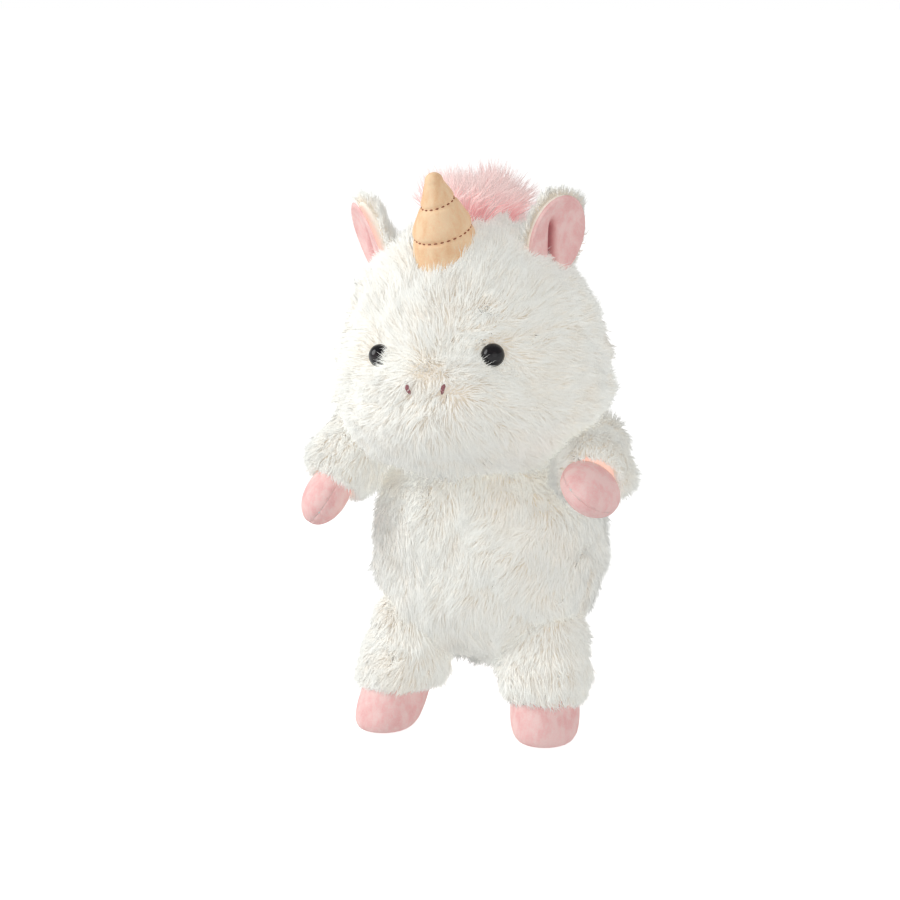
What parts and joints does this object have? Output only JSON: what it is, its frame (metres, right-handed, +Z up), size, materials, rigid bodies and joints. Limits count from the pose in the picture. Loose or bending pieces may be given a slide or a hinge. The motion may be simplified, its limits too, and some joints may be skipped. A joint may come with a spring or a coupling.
{
  "type": "plush unicorn",
  "caption": "Soft sewn unicorn toy in white long-pile fur, with pink velboa hooves and ear linings, a stitched peach horn and a pink mane and tail.",
  "frame": {"origin": "on the ground, under the middle of the whole toy", "axes": "+Z up the standing toy, -Y out of its face, +X towards its own left"},
  "size_m": [0.1615, 0.1641, 0.2704],
  "materials": {
    "white_fur": "long soft pile, brushed",
    "pink_velboa": "short nap, matte",
    "gold_velboa": "short nap, matte",
    "pink_pile": "long silky pile",
    "brown_thread": "twisted sewing thread",
    "rose_thread": "satin-stitch embroidery",
    "black_eye_plastic": "polished",
    "washer_plastic": "moulded",
    "fibre_fill": "loose fibre",
    "pouch_cloth": "plain woven cotton",
    "white_thread": "twisted sewing thread"
  },
  "bodies": {
    "torso": {"body_front": "white_fur", "body_back_left": "white_fur", "body_back_right": "white_fur", "body_stuffing": "fibre_fill", "bean_pouch": "pouch_cloth", "closing_seam": "white_thread"},
    "head": {"head_front": "white_fur", "head_back": "white_fur", "muzzle": "white_fur", "head_stuffing": "fibre_fill", "horn_skin": "gold_velboa", "horn_stuffing": "fibre_fill", "horn_stitch_lower": "brown_thread", "horn_stitch_upper": "brown_thread", "mane": "pink_pile", "eye_left": "black_eye_plastic", "eye_right": "black_eye_plastic", "eye_washer_left": "washer_plastic", "eye_washer_right": "washer_plastic", "nostril_left": "rose_thread", "nostril_right": "rose_thread"},
    "ear_left": {"ear_back_left": "white_fur", "ear_lining_left": "pink_velboa"},
    "arm_left": {"arm_skin_left": "white_fur", "arm_hoof_upper_left": "pink_velboa", "arm_hoof_lower_left": "pink_velboa", "arm_stuffing_left": "fibre_fill"},
    "leg_left": {"leg_skin_left": "white_fur", "leg_hoof_left": "pink_velboa", "leg_stuffing_left": "fibre_fill"},
    "ear_right": {"ear_back_right": "white_fur", "ear_lining_right": "pink_velboa"},
    "arm_right": {"arm_skin_right": "white_fur", "arm_hoof_upper_right": "pink_velboa", "arm_hoof_lower_right": "pink_velboa", "arm_stuffing_right": "fibre_fill"},
    "leg_right": {"leg_skin_right": "white_fur", "leg_hoof_right": "pink_velboa", "leg_stuffing_right": "fibre_fill"},
    "tail": {"tail": "pink_pile"}
  },
  "joints": [
    {"name": "head_tilt", "type": "hinge", "parent": "torso", "child": "head", "pos_m": [0, 0.0296, 0.14], "axis": [-1, 0, 0], "range_deg": [0, 18], "stiffness_Nm_per_rad": 0.8},
    {"name": "ear_fold_left", "type": "hinge", "parent": "head", "child": "ear_left", "pos_m": [0.03317, -0.0174, 0.22163], "axis": [0.7125, 0.6691, -0.2111], "range_deg": [-12, 22], "stiffness_Nm_per_rad": 0.02},
    {"name": "ear_fold_right", "type": "hinge", "parent": "head", "child": "ear_right", "pos_m": [-0.0397, -0.0174, 0.21717], "axis": [0.5646, -0.788, 0.2455], "range_deg": [-12, 22], "stiffness_Nm_per_rad": 0.02},
    {"name": "arm_swing_left", "type": "hinge", "parent": "torso", "child": "arm_left", "pos_m": [0.0582, -0.0134, 0.141], "axis": [-0.972, -0.2351, 0], "range_deg": [-26, 6], "stiffness_Nm_per_rad": 0.3},
    {"name": "arm_swing_right", "type": "hinge", "parent": "torso", "child": "arm_right", "pos_m": [-0.0556, -0.0164, 0.143], "axis": [-0.837, 0.5472, 0], "range_deg": [-12, 26], "stiffness_Nm_per_rad": 0.3},
    {"name": "leg_swing_left", "type": "hinge", "parent": "torso", "child": "leg_left", "pos_m": [0.0335, -0.0074, 0.046], "axis": [-1, 0, 0], "range_deg": [-14, 38], "stiffness_Nm_per_rad": 2},
    {"name": "leg_swing_right", "type": "hinge", "parent": "torso", "child": "leg_right", "pos_m": [-0.0335, -0.0074, 0.046], "axis": [-1, 0, 0], "range_deg": [-14, 38], "stiffness_Nm_per_rad": 2},
    {"name": "tail_lift", "type": "hinge", "parent": "torso", "child": "tail", "pos_m": [0, 0.0556, 0.05], "axis": [1, 0, 0], "range_deg": [0, 58], "stiffness_Nm_per_rad": 0.05}
  ]
}
